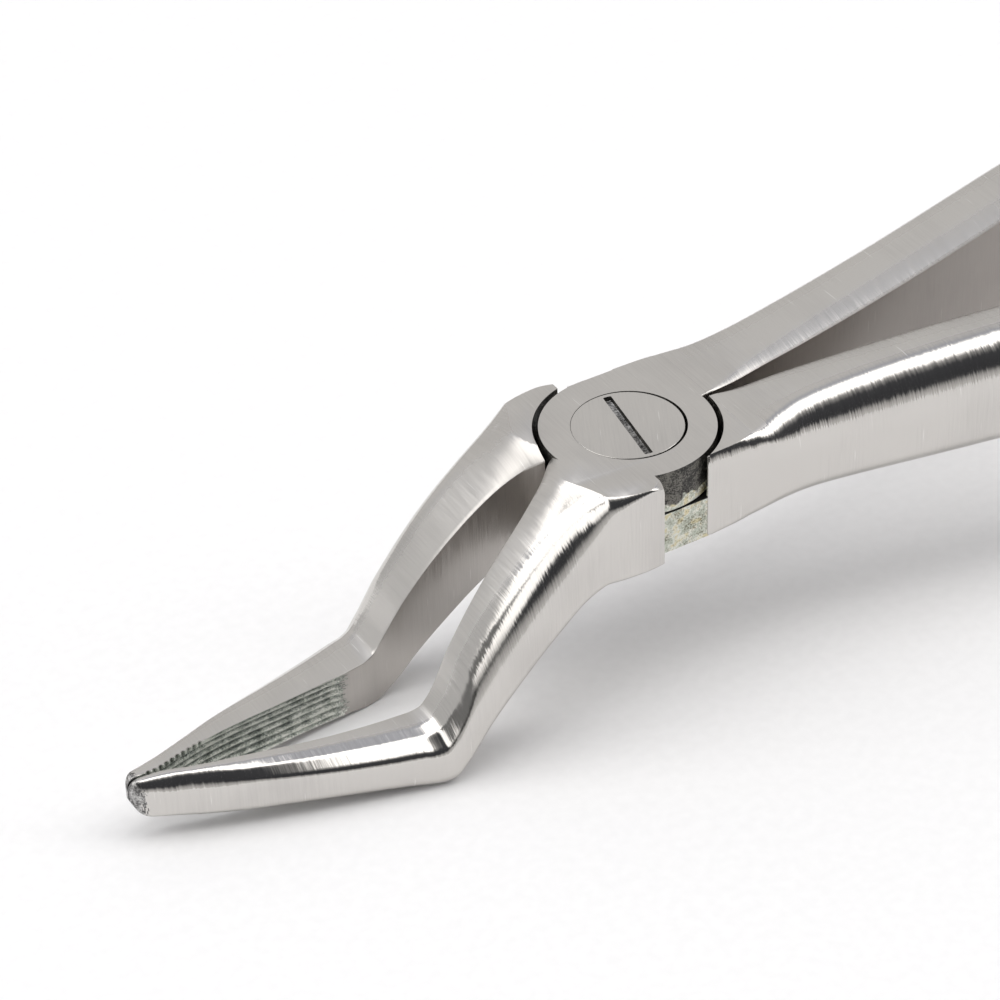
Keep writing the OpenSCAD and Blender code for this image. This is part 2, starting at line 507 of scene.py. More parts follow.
@dataclass(frozen=True)
class LapWall:
    """The lap's side walls: turned steel painted dark as painted shade, chalky where the front notch lies
    open.

    In the notch a pale residue of dried cleaner covers the lower plate's wall and creeps up the
    disc above it, and a near-black line of painted shade marks the lap line between the two.
    """

    name: str = "lap_wall_steel"
    notch_y: float = -5.4
    notch_x: float = -2.2
    creep_z: float = 6.0
    lap_z: float = 4.45
    # Width of the painted shade line at the lap.
    lap_shade_width: float = 0.13
    pit_mm: float = 0.02
    roughness: float = 0.5
    # Painted shade: the dark tones of the walls that face the narrow gaps.
    painted_shade_tones: tuple[str, str, str] = ("11100F", "302E2B", "75726B")
    chalk: tuple[str, str, str] = ("8E8A78", "CDCCBE", "EFEFE6")
    # Yellow and grey-green patches in the residue.
    tints: tuple[str, str, str] = ("E2E7E2", "FFFFFF", "F2E9CB")

    def make(self) -> bpy.types.Material:
        """Build the material.

        Returns:
            The finished material.
        """
        base = Blank(self.name, 0.25)
        tree = base.tree
        place = add_node(tree, "TexCoord", {}, {})["Object"]
        grit = {"Scale": 6000.0, "Detail": 2.0, "Roughness": 0.65}
        fine = add_node(tree, "TexNoise", grit, {"Vector": place})[0]
        broad = add_node(tree, "TexNoise", {"Scale": 800.0, "Detail": 2.0}, {"Vector": place})[0]
        hue = add_node(tree, "TexNoise", {"Scale": 1500.0, "Detail": 2.0}, {"Vector": place})[1]
        hue = add_node(tree, "SeparateXYZ", {}, {0: hue})[1]
        tone = add_node(tree, "Math", {"operation": "MULTIPLY", 1: 0.5}, {0: broad})[0]
        tone = add_node(tree, "Math", times_plus(0.7), {0: fine, 2: tone})[0]
        dark = self.tones(tree, tone, self.painted_shade_tones, (0.46, 0.60, 0.72))
        pale = self.tones(tree, tone, self.chalk, (0.44, 0.54, 0.66))
        patch = self.tones(tree, hue, self.tints, (0.40, 0.50, 0.62))
        pale = add_node(tree, "Mix", MULTIPLY, {6: pale, 7: patch})[2]
        share = self.covered(tree, place, broad)
        body = add_node(tree, "Mix", MIX, {0: share, 6: dark, 7: pale})[2]
        height = add_node(tree, "SeparateXYZ", {}, {0: place})[2]
        # Painted shade: a near-black line in the crease between the two plates.
        near = {"operation": "COMPARE", 1: self.lap_z * MM, 2: self.lap_shade_width * MM}
        crease_shade = add_node(tree, "Math", near, {0: height})[0]
        body = add_node(tree, "Mix", MIX | {7: linear("100F0E")}, {0: crease_shade, 6: body})[2]
        relief = {"Strength": 1.0, "Distance": self.pit_mm * MM}
        return base.finish(body, self.roughness, add_node(tree, "Bump", relief, {"Height": fine})[0])

    def tones(
        self, tree: Tree, source: Socket, codes: tuple, places: tuple
    ) -> Socket:
        """Colour a value through three tones.

        Args:
            tree: the material's node tree.
            source: the value.
            codes: the hex colours.
            places: the value at which each colour stands.

        Returns:
            The colour socket.
        """
        stops = [(at, linear(code)) for at, code in zip(places, codes)]
        return add_node(tree, "ValToRGB", {"stops": stops}, {0: source})[0]

    def covered(
        self, tree: Tree, place: Socket, broad: Socket
    ) -> Socket:
        """Find where the residue lies: in the notch, up to an uneven height on the disc.

        Args:
            tree: the material's node tree.
            place: the point on the piece.
            broad: a broad noise, which makes the residue's upper edge uneven.

        Returns:
            The share of the residue, from 0 to 1.
        """
        cut = add_node(tree, "SeparateXYZ", {}, {0: place})
        rise = add_node(tree, "Math", times_plus(0.0045), {0: broad, 2: cut[2]})[0]
        edges = [(cut[1], self.notch_y, -0.4), (cut[0], self.notch_x, 0.4)]
        edges.append((rise, self.creep_z + 2.25, -0.5))
        parts = []
        for source, at, width in edges:
            step = soft_step(at * MM, (at + width) * MM)
            parts.append(add_node(tree, "MapRange", step, {"Value": source})[0])
        both = add_node(tree, "Math", {"operation": "MULTIPLY"}, {0: parts[0], 1: parts[1]})[0]
        return add_node(tree, "Math", {"operation": "MULTIPLY"}, {0: both, 1: parts[2]})[0]


@dataclass(frozen=True)
class Finishes:
    """Every finish on the instrument."""

    steel: GroundSteel = GroundSteel()
    # Filed grooves hold a grey-green film that the polishing wheel never reaches, with bright crests.
    jaw: Speckle = Speckle(
        name="filed_jaw_steel",
        dark="4C524E",
        mid="AFB4AC",
        light="F4F5EE",
        metallic=0.3,
        roughness=0.42,
        grain_mm=0.13,
        patch_mm=1.1,
        depth_mm=0.02,
        grooved=0.32,
    )
    wall: LapWall = LapWall()
    # Tip ends, dulled and pitted by use; the same dark steel paints shade on the screw slot's floor.
    tip: Speckle = Speckle(
        name="worn_tip_and_shaded_slot_steel",
        dark="343333",
        mid="8C8B8A",
        light="C9C8C6",
        metallic=1.0,
        roughness=0.33,
        grain_mm=0.22,
        patch_mm=0.8,
        depth_mm=0.02,
    )

    def slots(self) -> Slots:
        """The materials of one half, in the order of Skin."""
        return [f.make() for f in (self.steel, self.jaw, self.wall, self.tip)]


# ---------------------------------------------------------------- bars: the swept part of each half


def slope_and_edge(u: float) -> Pair:
    """Trace a corner that is a gentle slope, then a steeper one, then a tight round edge.

    Args:
        u: how far round the corner, from 0 to 1.

    Returns:
        How far across and how far down, each from 0 to 1.
    """
    if u < 0.3:
        return 0.42 * u / 0.3, 0.13 * u / 0.3
    if u < 0.6:
        t = (u - 0.3) / 0.3
        return 0.42 + 0.41 * t, 0.13 + 0.38 * t
    start = math.radians(28)
    a = start + (math.pi / 2 - start) * (u - 0.6) / 0.4
    across = (math.sin(a) - math.sin(start)) / (1 - math.sin(start))
    down = 1 - math.cos(a) / math.cos(start)
    return 0.83 + 0.17 * across, 0.51 + 0.49 * down


@dataclass
class Station:
    """One cross-section of a forged bar, square to the instrument's length, in millimetres.

    The inner face looks across the gap at the other half. Pairs give a corner's size across and
    down: a bevel on the inner corners, a round on the outer ones. The pull says how far the upper
    round holds to the top face and to the side before it turns; 0.55 for both is an even round.
    The facet says how far the round is flattened to a buffed slope with a tight outer edge.
    """

    x: float
    inner: float
    outer: float
    low: float
    high: float
    bevel_high: Pair
    bevel_low: Pair
    round_high: Pair
    round_low: Pair
    pull: Pair = (0.55, 0.55)
    facet: float = 0.0
    crown: float = 0.0
    shine_from: float = 0.6


@dataclass(frozen=True)
class Columns:
    """How many points each stretch of a bar's outline has, going round from the inner face."""

    face: int
    bevel: int
    top: int
    corner: int
    side: int
    under: int

    def total(self) -> int:
        """Points in the whole outline."""
        return self.face + 2 * self.bevel + self.top + 2 * self.corner + self.side + self.under

    def outline(self, s: Station) -> tuple[np.ndarray, np.ndarray]:
        """Draw the outline of a station.

        Args:
            s: the cross-section.

        Returns:
            The points as (y, z) rows, and how far each is buffed, from 0 to 1.
        """
        points: list[Pair] = []
        shine: list[float] = []
        foot = s.low + s.bevel_low[1]
        head = s.high - s.bevel_high[1]
        for i in range(self.face):
            points.append((s.inner, foot + (head - foot) * i / (self.face - 1)))
            shine.append(0.0)
        for i in range(1, self.bevel + 1):
            u = i / (self.bevel + 1)
            lift = 0.07 * math.sin(math.pi * u) * min(s.bevel_high)
            points.append((s.inner + s.bevel_high[0] * u - 0.3 * lift, head + s.bevel_high[1] * u + lift))
            shine.append(0.35 if s.bevel_high[0] > 0.5 else 0.0)
        start = s.inner + s.bevel_high[0]
        stop = s.outer - s.round_high[0]
        for i in range(self.top):
            u = i / (self.top - 1)
            points.append((start + (stop - start) * u, s.high + s.crown * 4 * u * (1 - u)))
            shine.append(ease((u - s.shine_from) / (1 - s.shine_from)) * 0.8)
        across, down = s.round_high
        for i in range(1, self.corner + 1):
            u = i / (self.corner + 1)
            w = ((1 - u) ** 3, 3 * u * (1 - u) ** 2, 3 * u * u * (1 - u), u**3)
            slope = slope_and_edge(u)
            dy = across * ((1 - s.facet) * (w[1] * s.pull[0] + w[2] + w[3]) + s.facet * slope[0])
            dz = down * ((1 - s.facet) * (w[2] * (1 - s.pull[1]) + w[3]) + s.facet * slope[1])
            points.append((stop + dy, s.high - dz))
            shine.append(1.0)
        top_end = s.high - s.round_high[1]
        low_end = s.low + s.round_low[1]
        for i in range(self.side):
            points.append((s.outer, top_end + (low_end - top_end) * i / (self.side - 1)))
            shine.append(0.75)
        for i in range(1, self.corner + 1):
            a = math.pi / 2 * i / (self.corner + 1)
            dy = s.round_low[0] * (math.cos(a) - 1)
            dz = s.round_low[1] * (1 - math.sin(a))
            points.append((s.outer + dy, s.low + dz))
            shine.append(0.8)
        start = s.outer - s.round_low[0]
        stop = s.inner + s.bevel_low[0]
        for i in range(self.under):
            points.append((start + (stop - start) * i / (self.under - 1), s.low))
            shine.append(0.3)
        for i in range(1, self.bevel + 1):
            u = i / (self.bevel + 1)
            points.append((s.inner + s.bevel_low[0] * (1 - u), s.low + s.bevel_low[1] * u))
            shine.append(0.3)
        return np.array(points), np.array(shine)


@dataclass
class Bar:
    """A closed bar skinned over a row of outlines."""

    name: str
    columns: Columns
    rings: np.ndarray
    along: np.ndarray
    shine: np.ndarray
    crest_and_shade: np.ndarray
    skins: np.ndarray

    def build(self, slots: Slots) -> Thing:
        """Roll a grid into the bar, close its seam and its ends, and lay its finish on it.

        Args:
            slots: the materials, in slot order.

        Returns:
            The closed bar, in metres.
        """
        rows, count = self.rings.shape[:2]
        clear_pick()
        bpy.ops.mesh.primitive_grid_add(x_subdivisions=count, y_subdivisions=rows - 1, size=1.0)
        bar = bpy.context.active_object
        bar.name = self.name
        mesh = bar.data
        wrapped = np.concatenate([self.rings, self.rings[:, :1]], axis=1)
        mesh.vertices.foreach_set("co", (wrapped * MM).astype(np.float32).ravel())
        for material in slots:
            mesh.materials.append(material)
        steps = np.linalg.norm(np.diff(wrapped[:, :, 1:], axis=1), axis=2)
        around = np.concatenate([np.zeros((rows, 1)), np.cumsum(steps, axis=1)], axis=1)
        shine = np.concatenate([self.shine, self.shine[:, :1]], axis=1)
        crest_and_shade = np.concatenate([self.crest_and_shade, self.crest_and_shade[:, :1]], axis=1)
        corner = np.zeros(len(mesh.loops), np.int32)
        mesh.loops.foreach_get("vertex_index", corner)
        row = corner // (count + 1)
        column = corner % (count + 1)
        while mesh.uv_layers:
            mesh.uv_layers.remove(mesh.uv_layers[0])
        grain = np.stack([self.along[row], around[row, column]], axis=1) * MM
        # The finish map carries the buffing and the crest share, which also paints shade on inner faces.
        finish = np.stack([shine[row, column], crest_and_shade[row, column]], axis=1)
        mesh.uv_layers.new(name=GRAIN).data.foreach_set("uv", grain.astype(np.float32).ravel())
        mesh.uv_layers.new(name=FINISH).data.foreach_set("uv", finish.astype(np.float32).ravel())
        mesh.polygons.foreach_set("material_index", self.skins.astype(np.int32).ravel())
        mesh.update()
        pick(bar)
        bpy.ops.object.mode_set(mode="EDIT")
        bpy.ops.mesh.select_all(action="SELECT")
        bpy.ops.mesh.remove_doubles(threshold=2e-7)
        bpy.ops.mesh.select_all(action="DESELECT")
        bpy.ops.mesh.select_mode(type="EDGE")
        bpy.ops.mesh.select_non_manifold(extend=False, use_wire=False, use_multi_face=False)
        bpy.ops.mesh.edge_face_add()
        bpy.ops.mesh.select_all(action="SELECT")
        bpy.ops.mesh.normals_make_consistent(inside=False)
        bpy.ops.object.mode_set(mode="OBJECT")
        return bar


def end_caps(bar: Thing) -> int:
    """Count open edges that are left, which should be none."""
    used: dict[tuple[int, int], int] = {}
    for face in bar.data.polygons:
        for key in face.edge_keys:
            used[key] = used.get(key, 0) + 1
    return sum(1 for n in used.values() if n != 2)


# ---------------------------------------------------------------- one half


@dataclass
class Joint:
    """Sizes of the lap joint."""

    thick: float = 8.9
    disc_r: float = 8.15
    gap: float = 0.55
    lap_gap: float = 0.1
    side: float = 8.4
    notch_side: float = 8.12
    side_front: float = 1.4
    handle_start: float = 3.22
    handle_x: float = 9.1
    crotch: float = 0.12
    shank_bore_r: float = 2.76
    thread_bore_r: float = 2.5
    # The head sits a hair off the middle of its seat, so the ring is widest on one side.
    seat_r: float = 5.35
    seat_deep: float = 2.27
    seat_centre: Pair = (0.106, -0.061)

    def plate(self) -> float:
        """Thickness of one lap plate."""
        return (self.thick - self.lap_gap) / 2

    def socket(self) -> float:
        """Radius of the round space that the other half's disc turns in."""
        return self.disc_r + self.gap


@dataclass
class Beak:
    """The stepped beak: a root on the joint, a shank down to the elbow and a jaw out to the tip."""

    tip: float = 52.4
    start: float = 2.25
    round_share: float = 1.0
    top: Curve = bend(
        (1.7, 9.0), (6.6, 9.0), (7.4, 8.98), (8.15, 8.56), (9.4, 7.77), (13.0, 5.02), (18.0, 0.25),
        (22.0, -4.75), (24.3, -8.5), (25.4, -9.75), (26.6, -10.05), (29.0, -10.08), (34.0, -9.9),
        (42.0, -9.25), (50.0, -8.82), (52.4, -8.72),
    )
    low: Curve = bend(
        (1.7, -0.15), (8.0, -0.16), (8.7, -0.42), (13.5, -3.9), (17.5, -7.55), (21.0, -11.2),
        (23.4, -14.1), (24.8, -15.22), (25.8, -15.36), (28.0, -15.06), (46.4, -13.6), (52.4, -12.5),
    )
    inner: Curve = bend(
        (1.7, 0.12), (8.15, 0.12), (10.2, 1.32), (13.0, 2.33), (18.3, 3.34), (22.0, 3.98), (24.3, 4.38),
        (26.6, 4.05), (29.0, 3.78), (34.0, 3.2), (42.0, 1.94), (46.8, 0.88), (49.9, 0.11), (52.4, 0.1),
    )
    outer: Curve = bend(
        (1.7, 9.42), (4.3, 9.66), (6.0, 9.62), (8.0, 9.45), (10.2, 9.38), (13.0, 9.53), (18.3, 9.74),
        (24.0, 9.8), (26.5, 9.3), (29.1, 8.57), (42.0, 4.64), (48.3, 2.3), (52.4, 1.02),
    )
    crown: Curve = bend(
        (1.7, 0.0), (6.4, 0.05), (8.0, 0.7), (9.4, 1.0), (11.0, 0.6), (13.5, 0.12), (16.0, 0.04),
        (52.4, 0.03),
    )
    round_across: Curve = bend(
        (2.2, 1.4), (2.8, 0.9), (3.7, 0.45), (4.6, 0.6), (6.0, 1.1), (7.8, 1.9), (9.4, 3.0),
        (13.0, 3.7), (20.0, 3.8), (25.0, 3.1), (28.0, 3.0), (36.0, 2.5), (44.0, 1.6), (49.0, 1.2),
        (52.4, 0.7),
    )
    round_down: Curve = bend(
        (2.2, 1.25), (2.8, 0.85), (3.7, 0.5), (4.6, 0.75), (6.0, 1.3), (7.8, 2.4), (9.4, 3.6),
        (13.0, 4.6), (20.0, 4.8), (25.0, 2.7), (28.0, 1.8), (36.0, 1.7), (44.0, 1.9), (49.0, 1.6),
        (52.4, 1.0),
    )
    facet: Curve = bend((1.7, 0.0), (21.5, 0.0), (25.0, 1.0), (39.0, 1.0), (46.0, 0.1), (52.4, 0.0))
    round_low: Curve = bend(
        (1.7, 0.35), (7.0, 0.6), (12.0, 1.3), (20.0, 1.6), (27.0, 1.1), (44.0, 1.0), (49.0, 0.9),
        (52.4, 0.5),
    )
    groove_pitch: float = 0.7
    groove_depth: float = 0.2
    channel_depth: float = 0.3
    tooth_pitch: float = 0.64
    tooth_depth: float = 0.3
    nose: float = 1.7
    columns: Columns = Columns(face=46, bevel=3, top=14, corner=20, side=7, under=9)

    def places(self) -> list[float]:
        """Distances ahead of the pivot where the beak is drawn, closest where it has teeth.

        Returns:
            The distances, from the tip back to the shoulder's end.
        """
        spans = [(self.start, 9.6, 0.22), (9.6, 23.4, 0.4), (23.4, 28.2, 0.2), (28.2, 43.4, 0.3)]
        spans += [(43.4, 50.6, 0.08), (50.6, self.tip - 0.02, 0.1)]
        found: list[float] = []
        for start, stop, step in spans:
            n = round((stop - start) / step)
            found += [start + (stop - start) * i / n for i in range(n)]
        found.append(self.tip - 0.02)
        return sorted(found, reverse=True)

    def station(self, d: float) -> Station:
        """The cross-section at a distance ahead of the pivot.

        Args:
            d: distance ahead of the pivot.

        Returns:
            The cross-section.
        """
        high = self.top.at(d)
        low = self.low.at(d)
        inner = self.inner.at(d)
        outer = self.outer.at(d)
        n = min(0.97, max(0.0, (d - self.tip + self.nose) / self.nose))
        fall = 1 - math.sqrt(1 - n * n)
        tight = min(0.97, max(0.0, (d - self.tip + 0.9) / 0.9))
        drop = 1 - math.sqrt(1 - tight * tight)
        high -= 0.95 * drop
        low += 1.9 * fall
        outer = inner + (outer - inner) * (1 - 0.75 * drop)
        room = min(outer - inner, high - low)
        big = (
            min(self.round_across.at(d), 0.66 * room) * self.round_share,
            min(self.round_down.at(d), 0.66 * (high - low)) * self.round_share,
        )
        small = min(self.round_low.at(d), 0.34 * room)
        edge = min(0.06, 0.2 * room)
        hold = 0.55 - 0.2 * ease((d - 40) / 6)
        return Station(
            x=-d,
            inner=inner,
            outer=outer,
            low=low,
            high=high,
            bevel_high=(edge, edge),
            bevel_low=(edge, edge),
            round_high=big,
            round_low=(small, small),
            pull=(hold, hold),
            facet=self.facet.at(d),
            crown=self.crown.at(d),
            shine_from=0.35 + 0.4 * ease((d - 9) / 5),
        )

    def grooves(self, d: float, points: np.ndarray, s: Station) -> tuple[np.ndarray, np.ndarray]:
        """File the jaw's inner face: a shallow channel, long grooves, and cross teeth near the tip.

        Args:
            d: distance ahead of the pivot.
            points: the station's outline.
            s: the station.

        Returns:
            The outline with its inner face cut back, and how high each point stands, from 0 to 1;
            the inner face is also set low, which paints shade on it.
        """
        on = ease((d - 28.2) / 2.2) * (1 - ease((d - 50.2) / 0.9))
        crest_and_shade = np.ones(len(points))
        # Painted shade: the inner face is set low, so its steel is drawn darker.
        crest_and_shade[: self.columns.face] = 0.45
        if on <= 0:
            return points, crest_and_shade
        cut = points.copy()
        height = s.high - s.low
        count = self.columns.face + self.columns.bevel + 2
        for i in range(count):
            below = max(0.0, s.high - points[i, 1])
            share = min(1.0, below / height)
            hollow = self.channel_depth * (1 - (2 * share - 1) ** 2) * (1 - ease((d - 44) / 5))
            wave = abs(((below + 0.02 * (d - 28)) / self.groove_pitch) % 1.0 - 0.5) * 2
            line = self.groove_depth * (1 - wave) * ease(below / 0.25) * ease((height - below) / 0.4)
            near = ease((d - 43.6) / 1.0) * math.exp(-((below / 1.0) ** 2))
            ripple = abs((d / self.tooth_pitch) % 1.0 - 0.5) * 2
            tooth = self.tooth_depth * (1 - ripple) * near
            weight = 1.0 if i < self.columns.face + self.columns.bevel else 0.45
            cut[i, 0] += on * weight * (hollow + max(line, tooth))
            deep = max(line / self.groove_depth, tooth / self.tooth_depth)
            crest_and_shade[i] += on * (1.0 - 0.95 * deep - crest_and_shade[i])
        return cut, crest_and_shade

    def bar(self, name: str) -> Bar:
        """Lay out the whole beak, pointing along -X on the +Y side.

        Args:
            name: the bar's name.

        Returns:
            The bar, ready to build.
        """
        rings = []
        shine = []
        crest_and_shade = []
        along = []
        skins = []
        run = 0.0
        last = None
        for d in self.places():
            high = self.top.at(d)
            if last is not None:
                run += math.hypot(d - last[0], high - last[1])
            last = (d, high)
            s = self.station(d)
            flat, buffed = self.columns.outline(s)
            flat, lift_and_shade = self.grooves(d, flat, s)
            rings.append(np.column_stack([np.full(len(flat), s.x), flat]))
            shine.append(buffed)
            crest_and_shade.append(lift_and_shade)
            along.append(run)
            row = np.full(self.columns.total(), Skin.STEEL.value)
            for i in range(self.columns.total()):
                stray = math.sin(12.9898 * i + 78.233 * d) * 43758.5453 % 1.0
                inside = i <= self.columns.face or i == self.columns.total() - 1
                if inside and d > 28.3 + 0.9 * stray:
                    row[i] = Skin.JAW.value
                if ease((d - self.tip + 1.5) / 1.1) > 0.15 + 0.85 * stray:
                    row[i] = Skin.TIP.value
            skins.append(row)
        return Bar(
            name,
            self.columns,
            np.array(rings),
            np.array(along),
            np.array(shine),
            np.array(crest_and_shade),
            np.array(skins)[:-1],
        )


@dataclass
class Handle:
    """The handle: a shoulder on the joint, a narrow neck and a bowed grip with a rounded end."""

    joint: Joint
    reach: float = 122.0
    span: float = 44.0
    neck_w: float = 7.3
    grip_w: float = 7.8
    rise: float = 2.4
    fall: float = 0.8
    end_part: float = 0.06
    round_share: float = 1.0
    round_across: Curve = bend(
        (2.8, 0.5), (7.2, 0.75), (9.2, 1.5), (12.0, 2.5), (20.0, 3.5), (35.0, 4.0),
    )
    round_down: Curve = bend((2.8, 1.45), (7.2, 1.8), (9.2, 2.4), (12.0, 3.5), (20.0, 4.8), (35.0, 5.4))
    round_low: Curve = bend((2.8, 0.35), (6.0, 0.8), (14.0, 1.9), (30.0, 2.3))
    knurl_from: float = 64.0
    knurl_to: float = 108.0
    knurl_pitch: float = 2.0
    knurl_depth: float = 0.17
    columns: Columns = Columns(face=12, bevel=5, top=12, corner=15, side=16, under=9)

    def line(self, t: float) -> Pair:
        """Middle line of the handle in plan.

        Args:
            t: share of the way from the joint to the end.

        Returns:
            The point as x and y.
        """
        xs = (self.joint.handle_x - 1, 0.49 * self.reach, 0.57 * self.reach, self.reach)
        half = self.span / 2
        ys = (self.joint.crotch + self.neck_w / 2, 0.39 * half, 1.03 * half, 0.77 * half)
        w = ((1 - t) ** 3, 3 * t * (1 - t) ** 2, 3 * t * t * (1 - t), t**3)
        return sum(a * b for a, b in zip(w, xs)), sum(a * b for a, b in zip(w, ys))

    def station(self, t: float) -> Station:
        """The cross-section at t; below 0 it runs straight back over the joint's shoulder.

        Args:
            t: share of the middle line, or minus the millimetres before its start.

        Returns:
            The cross-section.
        """
        first = self.joint.handle_x - 1
        if t < 0:
            x = first + t
            t = 0.0
            y = self.line(0)[1]
        else:
            x, y = self.line(t)
        end = max(0.0, t - 1 + self.end_part) / self.end_part
        shrink = math.sqrt(1 - 0.94 * end * end)
        half_w = 0.9995 * shrink * (self.neck_w + (self.grip_w - self.neck_w) * t) / 2
        low = max(-self.fall, -self.fall * ease((x - 9.0) / 24) - 0.02)
        climb = ease_out((x - 9.0) / 44) * ease((x - 9.0) / 7)
        high = self.joint.thick + 0.02 + (self.rise - 0.14) * climb
        mid = (low + high) / 2
        half_h = (0.4 + 0.6 * shrink) * (high - low) / 2
        inner = y - half_w
        outer = y + half_w
        outer += (self.joint.side - self.joint.crotch - self.neck_w) * (1 - ease((x - 6.0) / 11.0))
        edge = min(1.0, max(0.0, self.joint.handle_start + 0.55 - x) / 0.55)
        outer -= 0.5 * (1 - math.sqrt(1 - edge * edge))
        wide = 2.5 * (1 - math.exp(-max(0.0, x - 9.5) / 9.0)) * shrink
        deep = 0.55 * (1 - math.exp(-max(0.0, x - 9.5) / 9.0)) * shrink
        share = shrink * self.round_share
        big = (self.round_across.at(x) * share, self.round_down.at(x) * share)
        small = self.round_low.at(x) * shrink
        even = ease((x - 7.0) / 2.4)
        return Station(
            x=x,
            inner=inner,
            outer=outer,
            low=mid - half_h,
            high=mid + half_h,
            bevel_high=(0.12 + wide, 0.12 + deep),
            bevel_low=(0.12 + 0.6 * wide, 0.12 + 0.6 * deep),
            round_high=big,
            round_low=(small, small),
            pull=(0.15 + 0.4 * even, 0.4 + 0.15 * even),
            crown=0.03 * ease((x - 12) / 10) * shrink,
            shine_from=0.7,
        )

    def places(self) -> list[float]:
        """Shares of the middle line where the handle is drawn, closest under the cross-cut grip.

        Returns:
            The shares, minus millimetres over the shoulder.
        """
        first = self.joint.handle_x - 1 - self.joint.handle_start + 0.35
        found = [-first + 0.06 * i for i in range(16)]
        found += [(0.96 - first) * (1 - i / 16) for i in range(16)]
        shares = []
        t = 0.0
        while t < 1 - self.end_part:
            shares.append(t)
            x = self.line(t)[0]
            pace = 0.25 if x < 14 else 0.7
            if self.knurl_from - 1 < x < self.knurl_to + 1:
                pace = 0.26
            ahead = self.line(min(1.0, t + 1e-4))[0]
            t += pace * 1e-4 / (ahead - x)
        shares += [1 - self.end_part + self.end_part * math.sin(math.pi / 2 * i / 14) for i in range(15)]
        return found + shares

    def knurl(self, x: float, around: float, on: float) -> float:
        """Depth of the cross-cut grip at a point.

        Args:
            x: distance run along the handle.
            around: distance round the outline from the middle of the outer side.
            on: how far the point lies on the grip, from 0 to 1.

        Returns:
            The depth, in millimetres.
        """
        first = abs(((x + 1.15 * around) / self.knurl_pitch) % 1.0 - 0.5) * 2
        second = abs(((x - 1.15 * around) / self.knurl_pitch) % 1.0 - 0.5) * 2
        groove = max(ease((first - 0.62) / 0.38), ease((second - 0.62) / 0.38))
        return self.knurl_depth * groove * on

    def bar(self, name: str) -> Bar:
        """Lay out the whole handle, running along +X on the +Y side.

        Args:
            name: the bar's name.

        Returns:
            The bar, ready to build.
        """
        rings = []
        shine = []
        along = []
        run = 0.0
        last = None
        c = self.columns
        first = c.face + c.bevel + c.top
        stop = first + 2 * c.corner + c.side
        middle = first + c.corner + c.side // 2
        for t in self.places():
            s = self.station(t)
            y = (s.inner + s.outer) / 2
            if last is not None:
                run += math.hypot(s.x - last[0], y - last[1])
            last = (s.x, y)
            flat, buffed = c.outline(s)
            on = ease((s.x - self.knurl_from) / 1.5) * (1 - ease((s.x - self.knurl_to) / 1.5))
            if on > 0:
                steps = np.linalg.norm(np.diff(flat, axis=0), axis=1)
                round_it = np.concatenate([[0.0], np.cumsum(steps)])
                heart = np.array([(s.inner + s.outer) / 2, (s.low + s.high) / 2])
                for i in range(first + 2, stop - 2):
                    side = ease((i - first - 2) / 6) * ease((stop - 2 - i) / 6)
                    inward = heart - flat[i]
                    inward = inward / np.linalg.norm(inward)
                    flat[i] = flat[i] + inward * self.knurl(run, round_it[i] - round_it[middle], on * side)
            rings.append(np.column_stack([np.full(len(flat), s.x), flat]))
            shine.append(buffed)
            along.append(run)
        skins = np.full((len(rings) - 1, c.total()), Skin.STEEL.value)
        # Painted shade: the inner face is set to 0, so its steel is drawn darker.
        plain = np.ones((len(rings), c.total()))
        plain[:, : c.face] = 0.0
        return Bar(name, c, np.array(rings), np.array(along), np.array(shine), plain, skins)


def ease_out(t: float) -> float:
    """Rise from 0 to 1 that slows down to its end, held at both ends."""
    t = min(1.0, max(0.0, t))
    return 1 - (1 - t) ** 1.5


def round_tool(name: str, radius: float, low: float, high: float, centre: Pair) -> Thing:
    """A round solid standing on the Z axis.

    Args:
        name: the object's name.
        radius: its radius, in millimetres.
        low: its lower end.
        high: its upper end.
        centre: its axis, as x and y.

    Returns:
        The solid.
    """
    clear_pick()
    bpy.ops.mesh.primitive_cylinder_add(
        vertices=180,
        radius=radius * MM,
        depth=(high - low) * MM,
        location=(centre[0] * MM, centre[1] * MM, (low + high) / 2 * MM),
    )
    tool = bpy.context.active_object
    tool.name = name
    apply_place(tool)
    return tool


def block_tool(name: str, low: Point, high: Point) -> Thing:
    """A square solid between two corners.

    Args:
        name: the object's name.
        low: its lowest corner, in millimetres.
        high: its highest corner.

    Returns:
        The solid.
    """
    clear_pick()
    bpy.ops.mesh.primitive_cube_add(size=1.0)
    tool = bpy.context.active_object
    tool.name = name
    tool.scale = [(b - a) * MM for a, b in zip(low, high)]
    tool.location = [(a + b) / 2 * MM for a, b in zip(low, high)]
    apply_place(tool)
    return tool


def skewed_block(name: str, low: tuple, high: tuple, slope: list[Pair]) -> Thing:
    """A square solid whose two ends lean out, as a grinding wheel runs out of a face.

    Args:
        name: the object's name.
        low: its lowest corner, in millimetres.
        high: its highest corner.
        slope: for the front and the back end, how far (x, z) the corner on the ground face moves.

    Returns:
        The solid.
    """
    tool = block_tool(name, low, high)
    ground = low[2] if high[2] > 5 else high[2]
    for v in tool.data.vertices:
        if abs(v.co.z / MM - ground) > 0.01:
            move = slope[0] if v.co.x / MM < (low[0] + high[0]) / 2 else slope[1]
            v.co.x += move[0] * MM
    return tool


